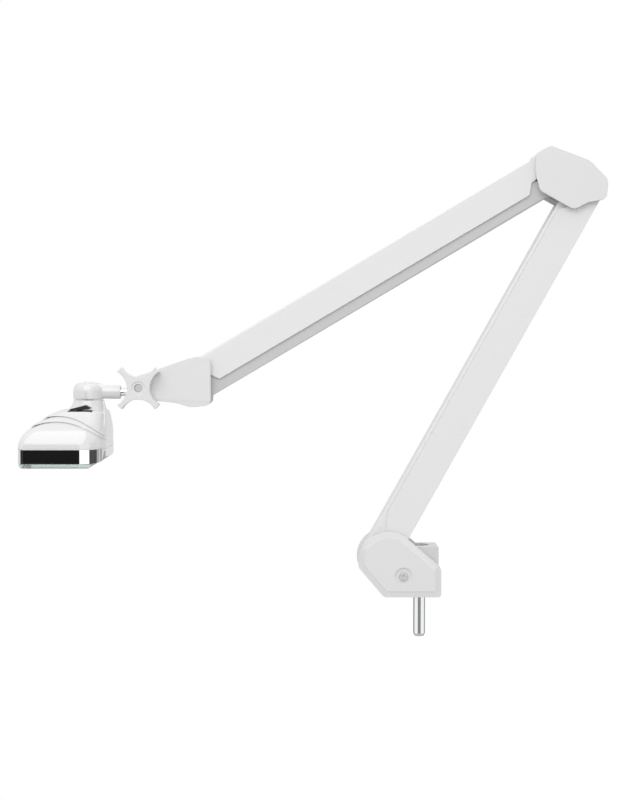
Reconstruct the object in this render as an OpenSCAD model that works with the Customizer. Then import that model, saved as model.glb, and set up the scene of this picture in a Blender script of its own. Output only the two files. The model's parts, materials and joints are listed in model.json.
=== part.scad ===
// Sprung double-parallelogram arm light on a turned spigot.
// Millimetres, +Z up. Origin: spigot axis at the underside of the base.
// X runs along the arms, Y across them, and the arms' middle plane is Y = 0.

/* [Arms] */
// Lower arm, main pivot to main pivot
lower_len = 424; // [340:1:520]
// Forearm, main pivot to main pivot
fore_len = 406.5; // [330:0.5:500]
// Lean of the lower arm from upright, in degrees
lower_lean = 29.2; // [20:0.1:38]
// Drop of the forearm below level, in degrees
fore_drop = 30.6; // [22:0.1:38]
// Overall width of both arms
arm_w = 29; // [24:0.5:35]
// Sheet thickness of the folded channels
sheet_t = 1.5; // [1.2:0.1:1.9]
// Link pivot spacing of the lower arm, level
base_gap = 20; // [19:0.5:22]
// Link pivot spacing of the forearm, upright
wrist_gap = 28; // [26:0.5:31]

/* [Channels] */
// Main pivot line to the back of both channels
web_off = 8; // [7.5:0.1:9]
// Main pivot line to the lips of the lower channel
lower_lip = 24; // [20:0.5:24.5]
// Main pivot line to the lips of the forearm channel
fore_lip = 21; // [18:0.5:21.5]
// Lower link, pivot line to the back of its channel
lower_link_web = 9.7; // [8.5:0.1:11]
// Lower link, pivot line to its lips
lower_link_lip = 8.3; // [7:0.1:8.4]
// Forearm link, pivot line to the back of its channel
fore_link_web = 8; // [7.5:0.1:10]
// Forearm link, pivot line to its lips
fore_link_lip = 12; // [9:0.5:12]

/* [Pivots] */
// Pivot pin radius
pin_r = 3; // [2.5:0.1:3.3]
// Bush outer radius
bush_r = 5; // [4.5:0.1:5.1]
// Thickness of the plates that hold the pins
ear_t = 3; // [2:0.5:4]
// Thickness of the side covers' edge
cover_t = 2.5; // [2:0.1:4]
// Radial clearance of a turning pin
run_fit = 0.05; // [0.02:0.01:0.09]
// Clearance of a fixed seat
snug_fit = 0.02; // [0.01:0.01:0.05]
// Side gap between pieces that move past each other
side_gap = 0.6; // [0.5:0.1:1]

/* [Base] */
// Spigot radius
spigot_r = 6; // [5:0.5:7]
// Spigot length under the base
spigot_len = 43; // [35:1:60]
// Main pivot, left of the spigot axis
hub_x = 33.5; // [32:0.5:38]
// Main pivot, above the underside
hub_z = 36; // [34:0.5:40]
// Radius of the base covers round the main pivot
hub_r = 29.5; // [28:0.5:32]
// Right edge of the base covers
base_right = 20.7; // [19:0.1:26]
// Height of the upright block
block_top = 50.6; // [44:0.1:51]

/* [Elbow] */
// Forearm pivot, left of the lower arm's top pivot
elbow_dx = 45.3; // [44:0.1:52]
// Forearm pivot, above the lower arm's top pivot
elbow_dz = 33.8; // [32:0.1:38]

/* [Wrist] */
// Knob axis, left of the forearm's end pivot
knob_dx = 60; // [58:0.5:70]
// Knob axis, below the forearm's end pivot
knob_dz = 21.8; // [20:0.1:24]
// Radius of the wrist covers round the knob axis
wrist_hub_r = 12; // [11.5:0.1:14]
// Half size of the star knob's square
knob_half = 21; // [18:0.5:23]
// Half width of the star knob at its waist
knob_waist = 11.2; // [9:0.1:13]
// Width of each knob tip
knob_tip = 6.5; // [5:0.5:8]
// Knob thickness
knob_t = 14; // [10:0.5:18]
// Clamp bolt radius
bolt_r = 4; // [3:0.5:4.5]

/* [Swivel] */
// Stem rod radius
rod_r = 4; // [3.5:0.1:4.2]
// Stem axis below the knob axis
rod_dz = 5.1; // [4.9:0.1:5.3]
// Head swivel axis, left of the knob axis
neck_dx = 54; // [52:0.5:64]
// Radius of the swivel tube
tube_r = 6.85; // [6.5:0.05:7.5]
// Radius of the swivel cap and the head's neck
cap_r = 15.75; // [14:0.25:18]

/* [Head] */
// Nose of the head, left of the swivel axis
nose_dx = 64; // [54:1:80]
// Heel of the head, right of the swivel axis
heel_dx = 21; // [20:0.5:25]
// Head width across the arms
head_w = 100; // [84:1:120]
// Height of the trim band
band_h = 14; // [11:0.5:17]
// Thickness of the glass plate
glass_t = 4.5; // [3:0.5:6]
// Wall of the head shell
shell_t = 2.4; // [2:0.1:3.4]
// Light sources along the head
led_cols = 6; // [4:1:7]
// Light sources across the head
led_rows = 7; // [5:1:8]

/* [Hidden] */

$fn = 48;
arc_step = 9;
hub_ease = 0.96;
eps = 0.01;
far = 200;

// Layers across the arms, as half widths from the middle plane
half_out = arm_w / 2;
half_in = half_out - sheet_t;
link_out = half_in - side_gap;
link_in = link_out - sheet_t;
ear_in = half_out + side_gap;
ear_out = ear_in + ear_t;
cover_gap = 0.3;
cover_in = ear_out + cover_gap;
cover_out = cover_in + cover_t;
plateau_t = 1.6;
small_cover_out = cover_out + 0.6;
bush_half = ear_in - cover_gap;

// Pivot places as [x, z]
A1 = [-hub_x, hub_z];
A2 = A1 - [base_gap, 0];
B1 = A1 + lower_len * [sin(lower_lean), cos(lower_lean)];
B2 = B1 - [base_gap, 0];
C1 = B1 + [-elbow_dx, elbow_dz];
C2 = C1 - [0, wrist_gap];
D1 = C1 - fore_len * [cos(fore_drop), sin(fore_drop)];
D2 = D1 - [0, wrist_gap];
K = D1 - [knob_dx, knob_dz];
lower_tilt = lower_lean - 90;
fore_tilt = 180 - fore_drop;
// Link pivots in their arm's own frame: along the arm, then towards the lips
lower_off = base_gap * [-sin(lower_lean), cos(lower_lean)];
fore_off = wrist_gap * [sin(fore_drop), cos(fore_drop)];

// Channels
notch_floor = 8.5;
strap_r = web_off;
link_end_r = 7;
fore_link_end_r = 7.5;
lead_r = 1.8;
plug_len = 14;
plug_w = 8;
plug_h = 3.6;

// Springs
spring_r = (link_in - 1.1) / 2 - 0.3;
spring_y = spring_r + 0.6;
wire_r = 0.9;
coil_pitch = 2 * wire_r;
spring_rod_r = 2.5;
spring_rod_at = 190;
spring_rod_z = 1;
spring_boss_r = spring_rod_r + 1.5;
coil_from = 44;
coil_to = 26;

// Base
rim_t = 2;
rim_top = 28;
ear_inset = rim_t + 1.4;
plate_t = 3.5;
sole = ear_inset;
bevel_inset = 6;
collar_r = 8.6;
collar_z = 0.5;
collar_t = 2.4;
chamfer = 3;
journal_r = spigot_r - 0.5;
bearing_r = journal_r + 3;
bearing_top = 36;
clip_gap = 0.5;
clip_t = 1.4;
base_slope_z = 30;
base_corner_x = 37;
base_step_x = base_right - 5;
screw_at = [-17.5, 21.3];
recess_r = 8.8;
head_r = 4.3;
shank_r = 2;
inlet_at = [2, 14];
inlet_r = 4;

// Elbow and wrist
shroud_in = 0.8;
shroud_t = 2;
spacer_r = 3.5;
thread_r = 1.5;
eye_half = 6;
eye_r = 10.5;
washer_gap = 0.35;
washer_t = 1;
clevis_r = 11.5;
clevis_back = 20;
knob_gap = 0.5;
nut_r = 7.5;
nut_t = 6;

// Swivel and head
rod_z = K[1] - rod_dz;
neck_x = K[0] - neck_dx;
tube_end = K[0] - 21.6;
rod_tip = neck_x + 13;
cap_gap = 0.6;
neck_top = rod_z - tube_r - 0.85;
cap_h = 16.4;
cap_z = neck_top + cap_gap;
spindle_r = 5;
lead_bore_r = 2.5;
sleeve_r = rod_r + 1.2;
pocket_z = cap_z + 10;
plug_z = cap_z + 14;
shelf_z = neck_top - 11.2;
shoulder_z = neck_top - 26;
seam_z = neck_top - 47.4;
band_z = seam_z - band_h;
glass_z = band_z - glass_t;
nose_x = neck_x - nose_dx;
heel_x = neck_x + heel_dx;
nose_r = 7;
heel_r = 24;
heel_lift = 7;
heel_run = 12;
shoulder_in = 9;
shelf_in = 17;
band_t = 2.6;
board_in = 6;
board_z = band_z + 5;
board_t = 1.6;
sink_z = board_z + board_t;
sink_t = 3;
fin_h = 9;
fin_t = 1.4;
fin_count = 7;
driver_z = seam_z + 12;

// Switch
switch_x = neck_x - 4.5;
switch_y = -26;
switch_l = 24;
switch_w = 11;
bezel_t = 1.4;
rocker_half = 10.5;
rocker_h = 5;
rocker_peak = 5.5;
rocker_travel = 8;
rocker_pivot = 3;

// ---------- outlines ----------

function polar(a) = [cos(a), sin(a)];
function flat(p) = [p[0], p[1]];
function unit(v) = v / norm(v);
function wrap(a) = a > 180 ? a - 360 : a < -180 ? a + 360 : a;

// Corner of the two tangents of a circle at angles a0 and a1, rounded a little inside that circle
function tangent_corner(c, r, a0, a1) =
    let (q = c + r / cos((a1 - a0) / 2) * polar((a0 + a1) / 2))
    [q[0], q[1], hub_ease * r];

// Points round one corner [x, y, radius]
function corner_arc(before, p, after) =
    let (u = unit(flat(before) - flat(p)),
        v = unit(flat(after) - flat(p)),
        half = acos(u * v) / 2,
        c = flat(p) + unit(u + v) * p[2] / sin(half),
        s = flat(p) + u * p[2] / tan(half) - c,
        e = flat(p) + v * p[2] / tan(half) - c,
        a0 = atan2(s[1], s[0]),
        turn = wrap(atan2(e[1], e[0]) - a0),
        steps = max(1, ceil(abs(turn) / arc_step)))
    [for (i = [0:steps]) c + p[2] * polar(a0 + turn * i / steps)];

// An outline whose corners run anticlockwise, without points that repeat
function outline(corners) =
    let (n = len(corners),
        points = [for (i = [0:n - 1])
            each corner_arc(corners[(i + n - 1) % n], corners[i], corners[(i + 1) % n])],
        m = len(points))
    [for (i = [0:m - 1]) if (norm(points[i] - points[(i + 1) % m]) > eps) points[i]];

// The same corners moved inwards by d
function inset(corners, d) =
    let (n = len(corners))
    [for (i = [0:n - 1])
        let (p = flat(corners[i]),
            u = unit(flat(corners[(i + n - 1) % n]) - p),
            v = unit(flat(corners[(i + 1) % n]) - p),
            side = cross(-u, v) > 0 ? 1 : -1,
            q = p + unit(u + v) * side * d / sin(acos(u * v) / 2))
        [q[0], q[1], max(corners[i][2] - side * d, 0.5)]];

function moved(corners, by) = [for (c = corners) [c[0] + by[0], c[1] + by[1], c[2]]];

module rounded(corners, d = 0) {
    polygon(outline(inset(corners, d)));
}

// ---------- solids ----------

// Extrudes an [x, z] shape across the arms, from y0 to y1
module slab(y0, y1) {
    translate([0, y1, 0])
        rotate([90, 0, 0])
            linear_extrude(y1 - y0)
                children();
}

module both_sides() {
    children();
    mirror([0, 1, 0])
        children();
}

// Round bar across the arms at p = [x, z]
module cross_bar(p, r, y0, y1) {
    translate([p[0], y1, p[1]])
        rotate([90, 0, 0])
            cylinder(r = r, h = y1 - y0);
}

module arm_frame(p, tilt) {
    translate([p[0], 0, p[1]])
        rotate([0, tilt, 0])
            children();
}

module bush(p) {
    difference() {
        cross_bar(p, bush_r, -bush_half, bush_half);
        cross_bar(p, pin_r + run_fit, -far, far);
    }
}

module pivot_pin(p) {
    cross_bar(p, pin_r, -ear_out, ear_out);
}

// Side of a channel in its arm's frame; the notches clear the link pivots
module channel_side(length, lip, near_notch, near_lip, far_notch, far_lip) {
    circle(r = strap_r);
    translate([length, 0])
        circle(r = strap_r);
    polygon([
        [0, -web_off], [length, -web_off], [length, strap_r], [length - far_notch[0], far_notch[1]],
        [length - far_lip, lip], [near_lip, lip], [near_notch[0], near_notch[1]], [0, strap_r]
    ]);
}

module outer_channel(length) {
    web_end = 2;
    both_sides()
        slab(half_in, half_out)
            difference() {
                children();
                for (x = [0, length])
                    translate([x, 0])
                        circle(r = bush_r + snug_fit);
            }
    translate([web_end, -half_in, -web_off])
        cube([length - 2 * web_end, 2 * half_in, sheet_t]);
    both_sides()
        difference() {
            cross_bar([spring_rod_at, spring_rod_z], spring_boss_r, half_in - sheet_t, half_in);
            cross_bar([spring_rod_at, spring_rod_z], spring_rod_r + snug_fit, 0, far);
        }
}

// Inner channel that opens towards the outer one
module link_channel(length, web, lip, end_r) {
    taper = 10;
    web_start = 6;
    both_sides()
        slab(link_in, link_out)
            difference() {
                union() {
                    polygon([
                        [0, -end_r], [taper, -lip], [length - taper, -lip], [length, -end_r],
                        [length, end_r], [length - web_start, web], [web_start, web], [0, end_r]
                    ]);
                    circle(r = end_r);
                    translate([length, 0])
                        circle(r = end_r);
                }
                for (x = [0, length])
                    translate([x, 0])
                        circle(r = bush_r + snug_fit);
            }
    translate([web_start, -link_in, web - sheet_t])
        cube([length - 2 * web_start, 2 * link_in, sheet_t]);
}

// Close-wound tension spring along +X with an eye at each end
module tension_spring(length, eye_near, eye_far) {
    coils = floor((length - coil_from - coil_to) / coil_pitch);
    coil_len = coils * coil_pitch;
    bore = spring_r - 2 * wire_r;
    eye(eye_near);
    translate([length, 0, 0])
        eye(eye_far);
    translate([eye_near + wire_r, 0, 0])
        rotate([0, 90, 0])
            cylinder(r = wire_r, h = length - eye_near - eye_far - 2 * wire_r);
    translate([coil_from, 0, 0])
        rotate([0, 90, 0])
            rotate_extrude()
                polygon(concat(
                    [[0, 0]],
                    [for (i = [0:coils - 1]) each [
                        [spring_r - wire_r, i * coil_pitch],
                        [spring_r, (i + 0.5) * coil_pitch]
                    ]],
                    [[spring_r - wire_r, coil_len], [0, coil_len], [0, coil_len - coil_pitch],
                        [bore, coil_len - coil_pitch], [bore, coil_pitch], [0, coil_pitch]]
                ));
}

// Wire eye round a bar across the arms
module eye(r) {
    rotate([90, 0, 0])
        rotate_extrude()
            translate([r + wire_r, 0])
                circle(r = wire_r, $fn = 16);
}

// Spring pair from a link pivot to the rod in its arm, in the arm's frame
module spring_pair(from) {
    reach = [spring_rod_at, spring_rod_z] - from;
    translate([from[0], 0, from[1]])
        rotate([0, -atan2(reach[1], reach[0]), 0])
            both_sides()
                translate([0, spring_y, 0])
                    tension_spring(norm(reach), bush_r + 0.4, spring_rod_r + 0.1);
}

module spring_rod(p, tilt) {
    arm_frame(p, tilt)
        cross_bar([spring_rod_at, spring_rod_z], spring_rod_r, -half_in, half_in);
}

// Wiring along the back of an outer channel, with a plug at each end
module arm_lead(length) {
    z = sheet_t - web_off + lead_r + 0.3;
    from = strap_r + 4;
    translate([from, 0, z])
        rotate([0, 90, 0])
            cylinder(r = lead_r, h = length - 2 * from);
    for (x = [from, length - from - plug_len])
        translate([x, -plug_w / 2, z - plug_h / 2])
            cube([plug_len, plug_w, plug_h]);
}

// ---------- spigot ----------

module spigot_pin() {
    color("silver")
        rotate_extrude()
            polygon([
                [0, -spigot_len], [spigot_r - chamfer / 2, -spigot_len],
                [spigot_r, -spigot_len + chamfer], [spigot_r, collar_z], [collar_r, collar_z],
                [collar_r, collar_z + collar_t], [journal_r, collar_z + collar_t],
                [journal_r, bearing_top + clip_gap + clip_t + 1],
                [0, bearing_top + clip_gap + clip_t + 1]
            ]);
}

module spigot_circlip() {
    color("dimgray")
        translate([0, 0, bearing_top + clip_gap])
            difference() {
                cylinder(r = journal_r + 2, h = clip_t);
                translate([0, 0, -eps])
                    cylinder(r = journal_r + snug_fit, h = clip_t + 2 * eps);
                translate([-far, -1, -eps])
                    cube([far, 2, clip_t + 2 * eps]);
            }
}

// ---------- base ----------

base_corners = [
    [-base_corner_x, 0, 7], [base_right, 0, 3], [base_right, base_slope_z, 9],
    tangent_corner(A1, hub_r, 47, 116), tangent_corner(A1, hub_r, 116, 186),
    [A1[0] - hub_r + 0.5, A1[1] - 6, 5]
];

module base_bracket() {
    color("gainsboro")
        difference() {
            union() {
                both_sides()
                    slab(ear_in, ear_out)
                        rounded(base_corners, ear_inset);
                translate([-base_corner_x + 8, -ear_in - eps, sole])
                    cube([base_step_x - snug_fit + base_corner_x - 8, 2 * (ear_in + eps), plate_t]);
            }
            for (p = [A1, A2])
                cross_bar(p, pin_r + snug_fit, -far, far);
            cross_bar(screw_at, shank_r + snug_fit, -far, far);
            cylinder(r = bearing_r + snug_fit, h = far);
        }
}

module base_block() {
    block_z = sole + plate_t + snug_fit;
    left = -bearing_r - 4;
    right = base_right - rim_t - 0.3;
    color("gainsboro")
        difference() {
            slab(snug_fit - ear_in, ear_in - snug_fit)
                polygon([
                    [left, block_z], [base_step_x, block_z], [base_step_x, sole],
                    [right, sole], [right, block_top - 1], [right - 1, block_top],
                    [-4, block_top], [left, block_top - 8.6]
                ]);
            cylinder(r = bearing_r + snug_fit, h = bearing_top + snug_fit);
            translate([0, 0, bearing_top])
                cylinder(r = bearing_r + 1, h = far);
        }
}

module base_bush() {
    color("darkgoldenrod")
        difference() {
            translate([0, 0, sole])
                cylinder(r = bearing_r, h = bearing_top - sole);
            cylinder(r = journal_r + run_fit, h = far);
        }
}

module base_pins() {
    color("silver")
        for (p = [A1, A2])
            pivot_pin(p);
}

// Half shell on the back side; the front one is its mirror image
module base_cover(inlet = false) {
    slab(cover_in, cover_out)
        difference() {
            rounded(base_corners);
            translate(screw_at)
                circle(r = shank_r + side_gap);
            if (inlet)
                translate(inlet_at)
                    circle(r = inlet_r);
        }
    slab(cover_out, cover_out + plateau_t)
        difference() {
            rounded(base_corners, bevel_inset);
            translate(screw_at)
                circle(r = recess_r);
            if (inlet)
                translate(inlet_at)
                    circle(r = inlet_r);
        }
    difference() {
        slab(cover_gap / 2, cover_in)
            intersection() {
                difference() {
                    rounded(base_corners);
                    rounded(base_corners, rim_t);
                }
                translate([-far, -far])
                    square([2 * far, far + rim_top]);
            }
        translate([0, 0, -1])
            cylinder(r = collar_r + 1, h = rim_t + 2);
    }
}

module base_cover_front() {
    color("white")
        mirror([0, 1, 0])
            base_cover();
}

module base_cover_back() {
    color("white")
        base_cover(inlet = true);
}

// Pan-head screw along +Y, its head's underside at y and its tip inside the ear
module cover_screw(p, y, head) {
    slot = 1;
    difference() {
        union() {
            cross_bar(p, head, y, y + 2);
            cross_bar(p, shank_r, ear_in + 0.2, y + eps);
        }
        for (turn = [0, 90])
            translate([p[0], y + 2, p[1]])
                rotate([0, turn + 20, 0])
                    cube([head * 1.3, 2, slot], center = true);
    }
}

module base_cover_screws() {
    color("silver")
        both_sides()
            cover_screw(screw_at, cover_out + snug_fit, head_r);
}

module cable_inlet() {
    color("dimgray")
        difference() {
            union() {
                cross_bar(inlet_at, inlet_r - snug_fit, ear_out + 0.1, cover_out + plateau_t + 1.5);
                cross_bar(inlet_at, inlet_r + 2, cover_out + plateau_t, cover_out + plateau_t + 1.5);
            }
            cross_bar(inlet_at, lead_bore_r, 0, far);
        }
}

// ---------- lower arm ----------

module lower_channel() {
    color("white")
        arm_frame(A1, lower_tilt)
            outer_channel(lower_len)
                channel_side(lower_len, lower_lip, [8, notch_floor], 45, [19, notch_floor], 32);
}

module lower_bushes() {
    color("whitesmoke")
        for (p = [A1, B1])
            bush(p);
}

module lower_springs() {
    color("silver")
        arm_frame(A1, lower_tilt)
            spring_pair(lower_off);
}

module lower_spring_rod() {
    color("silver")
        spring_rod(A1, lower_tilt);
}

module lower_lead() {
    color("dimgray")
        arm_frame(A1, lower_tilt)
            arm_lead(lower_len);
}

module lower_link() {
    color("white")
        arm_frame(A2, lower_tilt)
            link_channel(lower_len, lower_link_web, lower_link_lip, link_end_r);
}

module lower_link_bushes() {
    color("whitesmoke")
        for (p = [A2, B2])
            bush(p);
}

// ---------- elbow ----------

elbow_corners = concat(
    moved([[-10.5, -32.5, 7]], C1),
    moved([[-22.3, -17.4, 9], [-7, -10, 9], [10.3, -7.2, 7], [12.3, 12.3, 10], [-7, 31.6, 20]], B1),
    moved([[-0.5, 12.4, 7], [-15.2, 4.2, 5], [-15, -16, 30]], C1)
);

module elbow_plates() {
    color("gainsboro")
        both_sides()
            slab(ear_in, ear_out)
                difference() {
                    rounded(elbow_corners, ear_inset);
                    for (p = [B1, B2, C1, C2])
                        translate(p)
                            circle(r = pin_r + snug_fit);
                    for (p = elbow_posts)
                        translate(p)
                            circle(r = thread_r + snug_fit);
                }
}

elbow_posts = [B1 + [-11, 20.5], B1 + [-29, 24.5]];

module elbow_spacers() {
    color("silver")
        for (p = elbow_posts)
            cross_bar(p, spacer_r, -ear_in, ear_in);
}

module elbow_pins() {
    color("silver")
        for (p = [B1, B2, C1, C2])
            pivot_pin(p);
}

// Strip that closes the top and the right side between the covers
module elbow_shroud() {
    color("white")
        intersection() {
            slab(-cover_in, cover_in)
                difference() {
                    rounded(elbow_corners, shroud_in);
                    rounded(elbow_corners, shroud_in + shroud_t);
                }
            translate([C1[0] + 8, -far, B1[1] + 6.5])
                cube([far, 2 * far, far]);
        }
}

// Flat cover on the back side in two steps, with round holes [x, z, radius]
module side_cover(corners, holes) {
    edge_step = 1;
    for (layer = [[cover_in, cover_out, 0], [cover_out, small_cover_out, edge_step]])
        slab(layer[0], layer[1])
            difference() {
                rounded(corners, layer[2]);
                for (h = holes)
                    translate(flat(h))
                        circle(r = h[2]);
            }
}

function screw_holes(posts) = [for (p = posts) [p[0], p[1], shank_r]];

module elbow_cover_back() {
    color("white")
        side_cover(elbow_corners, screw_holes(elbow_posts));
}

module elbow_cover_front() {
    color("white")
        mirror([0, 1, 0])
            side_cover(elbow_corners, []);
}

// Screws through the back cover and plate into posts or the clevis
module back_screws(posts) {
    for (p = posts) {
        cross_bar(p, thread_r, ear_in + 0.2, small_cover_out);
        cross_bar(p, shank_r + 1, small_cover_out, small_cover_out + 1);
    }
}

module elbow_screws() {
    color("silver")
        back_screws(elbow_posts);
}

// ---------- forearm ----------

module forearm_channel() {
    color("white")
        arm_frame(C1, fore_tilt)
            outer_channel(fore_len)
                channel_side(fore_len, fore_lip, [28, 11.5], 36, [3, 10.5], 10);
}

module forearm_bushes() {
    color("whitesmoke")
        for (p = [C1, D1])
            bush(p);
}

module forearm_springs() {
    color("silver")
        arm_frame(C1, fore_tilt)
            spring_pair(fore_off);
}

module forearm_spring_rod() {
    color("silver")
        spring_rod(C1, fore_tilt);
}

module forearm_lead() {
    color("dimgray")
        arm_frame(C1, fore_tilt)
            arm_lead(fore_len);
}

module forearm_link() {
    color("gainsboro")
        arm_frame(C2, fore_tilt)
            link_channel(fore_len, fore_link_web, fore_link_lip, fore_link_end_r);
}

module forearm_link_bushes() {
    color("whitesmoke")
        for (p = [C2, D2])
            bush(p);
}

// ---------- wrist ----------

wrist_corners = concat(
    [tangent_corner(K, wrist_hub_r, 187, 264)],
    moved([[-25, -36.7, 20], [-9, -41.5, 15], [11, -39.3, 6], [11, 9, 4], [-8, 8.6, 25]], D1),
    [tangent_corner(K, wrist_hub_r, 110, 187)]
);
wrist_posts = [K + [17, 4], K + [17, -6]];

module wrist_plates() {
    color("gainsboro")
        both_sides()
            slab(ear_in, ear_out)
                difference() {
                    rounded(wrist_corners, shroud_in + shroud_t + 0.4);
                    for (p = [D1, D2])
                        translate(p)
                            circle(r = pin_r + snug_fit);
                    translate(K)
                        circle(r = bolt_r + run_fit);
                    for (p = wrist_posts)
                        translate(p)
                            circle(r = thread_r + snug_fit);
                }
}

module wrist_clevis() {
    inner = eye_half + washer_gap + washer_t;
    color("silver")
        difference() {
            slab(-ear_in, ear_in)
                union() {
                    translate(K)
                        circle(r = wrist_hub_r - 3.4);
                    translate(K - [0, wrist_hub_r - 3.4])
                        square([clevis_back, 2 * (wrist_hub_r - 3.4)]);
                }
            slab(-inner, inner)
                translate(K - [far, far / 2])
                    square([far + eye_r + 2, far]);
            cross_bar(K, bolt_r + run_fit, -far, far);
        }
}

module wrist_pins() {
    color("silver")
        for (p = [D1, D2])
            pivot_pin(p);
}

module wrist_washers() {
    inner = eye_half + washer_gap;
    color("darkgoldenrod")
        both_sides()
            difference() {
                cross_bar(K, wrist_hub_r - 3.4, inner, inner + washer_t);
                cross_bar(K, bolt_r + run_fit, 0, far);
            }
}

module wrist_nut() {
    color("silver")
        difference() {
            translate([K[0], ear_out + nut_t, K[1]])
                rotate([90, 0, 0])
                    cylinder(r = nut_r, h = nut_t, $fn = 6);
            cross_bar(K, bolt_r + run_fit, 0, far);
        }
}

module wrist_shroud() {
    color("white")
        intersection() {
            slab(-cover_in, cover_in)
                difference() {
                    rounded(wrist_corners, shroud_in);
                    rounded(wrist_corners, shroud_in + shroud_t);
                }
            translate([K[0] + 14, -far, K[1] - far])
                cube([knob_dx - 14 - 16, 2 * far, 2 * far]);
        }
}

module wrist_cover_back() {
    color("white")
        side_cover(wrist_corners, concat(screw_holes(wrist_posts), [[K[0], K[1], nut_r + side_gap]]));
}

module wrist_cover_front() {
    color("white")
        mirror([0, 1, 0])
            side_cover(wrist_corners, [[K[0], K[1], bolt_r + side_gap]]);
}

module wrist_screws() {
    color("silver")
        back_screws(wrist_posts);
}

// ---------- knob ----------

module star_shape() {
    tip = knob_tip / sqrt(2);
    corner = knob_half - tip;
    rise = knob_half - knob_waist;
    scoop_r = (corner * corner + rise * rise) / (2 * rise);
    difference() {
        polygon([for (q = [0:3]) each [
            corner * polar(90 * q) + knob_half * polar(90 * q + 90),
            -corner * polar(90 * q) + knob_half * polar(90 * q + 90)
        ]]);
        for (q = [0:3])
            translate((knob_waist + scoop_r) * polar(90 * q))
                circle(r = scoop_r, $fn = 96);
    }
}

module star_knob() {
    back = small_cover_out + knob_gap;
    color("whitesmoke")
        difference() {
            slab(-back - knob_t, -back)
                translate(K)
                    star_shape();
            cross_bar(K, bolt_r + snug_fit, -far, 0);
        }
}

module knob_bolt() {
    front = small_cover_out + knob_gap + knob_t - 2.5;
    color("silver")
        cross_bar(K, bolt_r, -front, ear_out + nut_t + 1);
}

// ---------- stem and swivel ----------

// Round bar along X at height z, from x0 to x1
module long_bar(z, r, x0, x1) {
    translate([x0, 0, z])
        rotate([0, 90, 0])
            cylinder(r = r, h = x1 - x0);
}

rod_root = K[0] - bolt_r - 1.5;

module stem_eye() {
    color("silver")
        difference() {
            cross_bar(K, eye_r, -eye_half, eye_half);
            cross_bar(K, bolt_r + run_fit, -far, far);
            long_bar(rod_z, rod_r + snug_fit, K[0] - far, rod_root + snug_fit);
        }
}

module stem_rod() {
    color("silver")
        long_bar(rod_z, rod_r, rod_tip, rod_root);
}

module swivel_elbow() {
    shoulder = 7;
    top_r = cap_r - 6;
    color("white")
        difference() {
            union() {
                translate([neck_x, 0, cap_z])
                    rotate_extrude($fn = 64)
                        polygon(concat(
                            [[0, 0], [cap_r - 1, 0], [cap_r, 1], [cap_r, shoulder]],
                            [for (a = [10:10:90])
                                [top_r + (cap_r - top_r) * cos(a),
                                    shoulder + (cap_h - shoulder) * sin(a)]],
                            [[0, cap_h]]
                        ));
                long_bar(rod_z, tube_r, neck_x, tube_end);
            }
            long_bar(rod_z, sleeve_r + snug_fit, rod_tip - 1, K[0]);
            translate([neck_x, 0, 0]) {
                cylinder(r = spindle_r + run_fit, h = rod_z + far);
                translate([0, 0, pocket_z])
                    cylinder(r = spindle_r + 2.5, h = far);
            }
        }
}

module swivel_bush() {
    color("dimgray")
        difference() {
            long_bar(rod_z, sleeve_r, rod_tip - 1, tube_end - 0.5);
            long_bar(rod_z, rod_r + run_fit, rod_tip - 2, K[0]);
        }
}

module swivel_plug() {
    color("whitesmoke")
        translate([neck_x, 0, plug_z]) {
            cylinder(r = spindle_r + 2.5 - snug_fit, h = cap_h - plug_z + cap_z);
            cylinder(r = spindle_r, h = cap_h - plug_z + cap_z + 1);
        }
}

// ---------- head ----------

head_corners = [
    [nose_x, -head_w / 2, nose_r], [heel_x, -head_w / 2, heel_r],
    [heel_x, head_w / 2, heel_r], [nose_x, head_w / 2, nose_r]
];

// Rounded rectangle slice, grown or shrunk by d
module slice(z, x0, x1, w, r, d) {
    translate([0, 0, z])
        linear_extrude(0.6)
            rounded([[x0, -w / 2, r], [x1, -w / 2, r], [x1, w / 2, r], [x0, w / 2, r]], d);
}

module head_form(d) {
    hull() {
        translate([0, 0, seam_z - eps])
            linear_extrude(5 - d)
                rounded(head_corners, d);
        slice(shoulder_z - d, nose_x + 8, heel_x - 1.2, head_w - 2 * shoulder_in, 18, d);
        slice(shelf_z - 0.6 - d, nose_x + 34, heel_x - 3, head_w - 2 * shelf_in, 14, d);
    }
    hull() {
        slice(shoulder_z - d, neck_x - 27, heel_x - 1.2, 44, 16, d);
        translate([neck_x, 0, neck_top - 1.6 - d])
            cylinder(r = cap_r - 0.4 - d, h = 1.6);
    }
}

module head_shell() {
    color("white")
        difference() {
            head_form(0);
            difference() {
                translate([0, 0, -2 * eps])
                    head_form(shell_t);
                translate([neck_x, 0, neck_top - 4.4])
                    cylinder(r = cap_r, h = far);
            }
            translate([neck_x, 0, shoulder_z])
                cylinder(r = spindle_r + snug_fit, h = far);
            translate([switch_x - switch_l / 2 + 1.5, switch_y - switch_w / 2 + 1, shelf_z - 20])
                cube([switch_l - 3, switch_w - 2, far / 4]);
        }
}

module head_spindle() {
    flange = spindle_r + 1.8;
    color("silver")
        translate([neck_x, 0, 0])
            difference() {
                union() {
                    translate([0, 0, neck_top - 12])
                        cylinder(r = spindle_r, h = pocket_z - neck_top + 13);
                    translate([0, 0, pocket_z + 0.5])
                        cylinder(r = flange, h = 2);
                }
                cylinder(r = lead_bore_r, h = rod_z + far);
            }
}

module spindle_nut() {
    color("silver")
        translate([neck_x, 0, neck_top - 4.4 - 5])
            difference() {
                cylinder(r = spindle_r + 3, h = 5, $fn = 6);
                translate([0, 0, -eps])
                    cylinder(r = spindle_r + snug_fit, h = 6);
            }
}

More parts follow.
